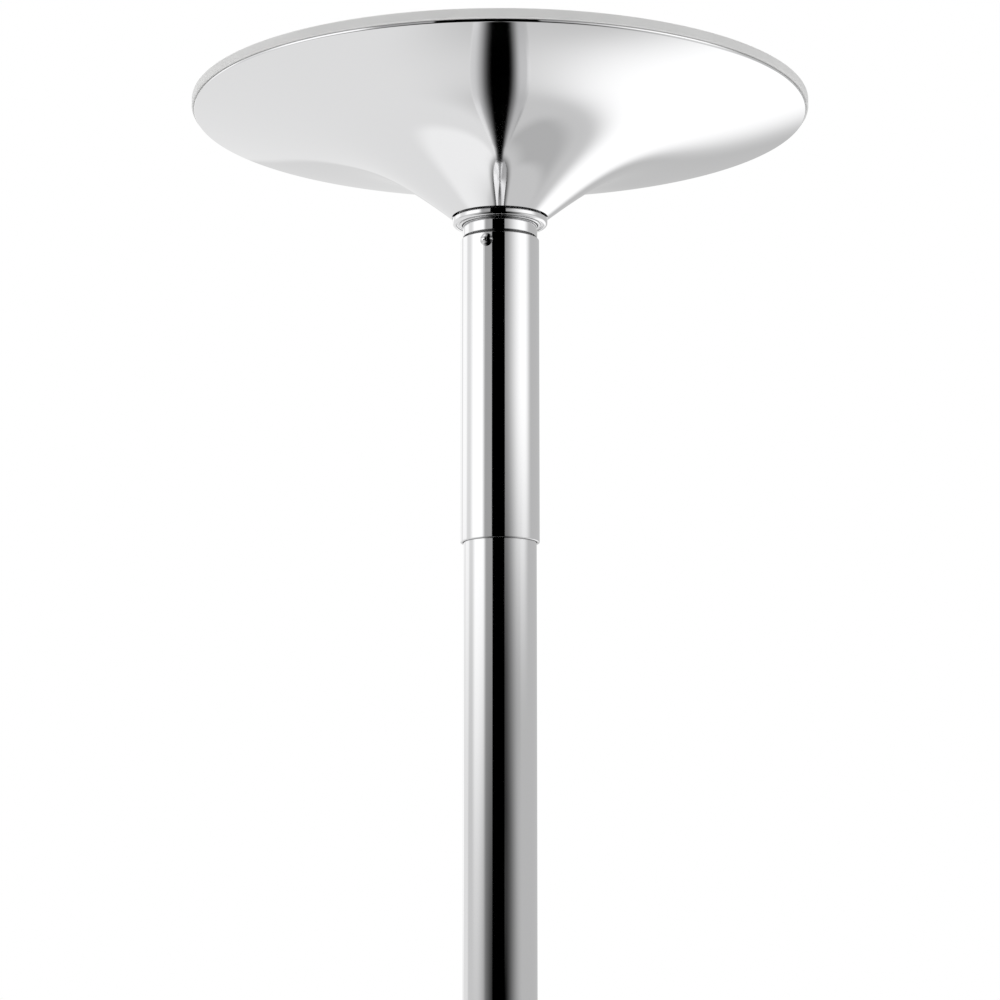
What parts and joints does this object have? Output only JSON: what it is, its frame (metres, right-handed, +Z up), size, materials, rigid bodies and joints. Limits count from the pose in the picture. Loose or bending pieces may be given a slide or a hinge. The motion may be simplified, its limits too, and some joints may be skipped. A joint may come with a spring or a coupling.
{
  "type": "floor-to-ceiling pole with trumpet end plates",
  "caption": "Chromed pole clamped between floor and ceiling by trumpet-shaped end plates, turning on bearings, with a screw jack under a cover sleeve.",
  "frame": {"origin": "centre of the base gasket's underside, on the floor plane", "axes": "+Z up along the pole's axis; -Y is the front, the side the sleeve's screw faces within 20 degrees; +X to the right"},
  "size_m": [0.385, 0.385, 2.4],
  "materials": {
    "chrome": "mirror-polished plating",
    "gasket_rubber": "matt moulded grey",
    "bare_steel": "machined",
    "zinc_plate": "zinc plated",
    "brass": "machined",
    "black_oxide": "black oxide"
  },
  "bodies": {
    "floor_base": {"base_gasket": "gasket_rubber", "base_trumpet": "chrome", "base_plate": "zinc_plate", "base_hub": "bare_steel", "base_collar": "chrome", "base_outer_race": "bare_steel", "base_hub_screw_1": "zinc_plate", "base_hub_screw_2": "zinc_plate", "base_hub_screw_3": "zinc_plate", "base_hub_screw_4": "zinc_plate"},
    "spin_lock_left": {"spin_lock_screw_left": "black_oxide"},
    "spin_lock_right": {"spin_lock_screw_right": "black_oxide"},
    "base_cage": {"base_ball_cage": "brass"},
    "pole": {"base_spindle": "chrome", "base_circlip": "black_oxide", "base_inner_race": "bare_steel", "lower_tube": "chrome", "lower_tube_grub_left": "black_oxide", "lower_tube_grub_right": "black_oxide", "joint_half_front": "zinc_plate", "joint_half_back": "zinc_plate", "joint_expander_lower": "black_oxide", "joint_expander_upper": "black_oxide", "upper_tube": "chrome", "upper_tube_grub_left": "black_oxide", "upper_tube_grub_right": "black_oxide", "tube_top_bush": "bare_steel", "jack_washer": "brass"},
    "jack_nuts": {"jack_nut": "bare_steel", "lock_nut": "zinc_plate"},
    "head": {"top_spindle": "chrome", "jack_screw": "bare_steel", "top_circlip": "black_oxide", "top_inner_race": "bare_steel"},
    "sleeve": {"cover_sleeve": "chrome", "sleeve_screw": "zinc_plate"},
    "ceiling_dome": {"top_gasket": "gasket_rubber", "top_trumpet": "chrome", "top_plate": "zinc_plate", "top_hub": "bare_steel", "top_collar": "chrome", "top_outer_race": "bare_steel", "top_hub_screw_1": "zinc_plate", "top_hub_screw_2": "zinc_plate", "top_hub_screw_3": "zinc_plate", "top_hub_screw_4": "zinc_plate"},
    "top_cage": {"top_ball_cage": "brass"}
  },
  "joints": [
    {"name": "pole_spin", "type": "hinge", "parent": "floor_base", "child": "pole", "pos_m": [0, 0, 0.1], "axis": [0, 0, 1], "continuous": true},
    {"name": "base_cage_spin", "type": "hinge", "parent": "floor_base", "child": "base_cage", "pos_m": [0, 0, 0.064], "axis": [0, 0, 1], "continuous": true},
    {"name": "spin_lock_left_travel", "type": "slide", "parent": "floor_base", "child": "spin_lock_left", "axis": [1, 0, 0], "range_m": [0, 0.0012]},
    {"name": "spin_lock_right_travel", "type": "slide", "parent": "floor_base", "child": "spin_lock_right", "axis": [-1, 0, 0], "range_m": [0, 0.0012]},
    {"name": "jack_travel", "type": "slide", "parent": "pole", "child": "head", "axis": [0, 0, 1], "range_m": [-0.025, 0.06]},
    {"name": "jack_nut_turn", "type": "hinge", "parent": "pole", "child": "jack_nuts", "pos_m": [0, 0, 2.24], "axis": [0, 0, 1], "range_deg": [-5400, 2250]},
    {"name": "sleeve_slide", "type": "slide", "parent": "head", "child": "sleeve", "axis": [0, 0, 1], "range_m": [-0.08, 0]},
    {"name": "dome_spin", "type": "hinge", "parent": "head", "child": "ceiling_dome", "pos_m": [0, 0, 2.36], "axis": [0, 0, 1], "continuous": true},
    {"name": "top_cage_spin", "type": "hinge", "parent": "head", "child": "top_cage", "pos_m": [0, 0, 2.336], "axis": [0, 0, 1], "continuous": true}
  ],
  "couplings": [
    {"joint": "base_cage_spin", "follows": "pole_spin", "ratio": 0.413},
    {"joint": "dome_spin", "follows": "pole_spin", "ratio": -1},
    {"joint": "top_cage_spin", "follows": "pole_spin", "ratio": -0.587},
    {"joint": "jack_nut_turn", "follows": "jack_travel", "rad_per_m": -1570}
  ]
}
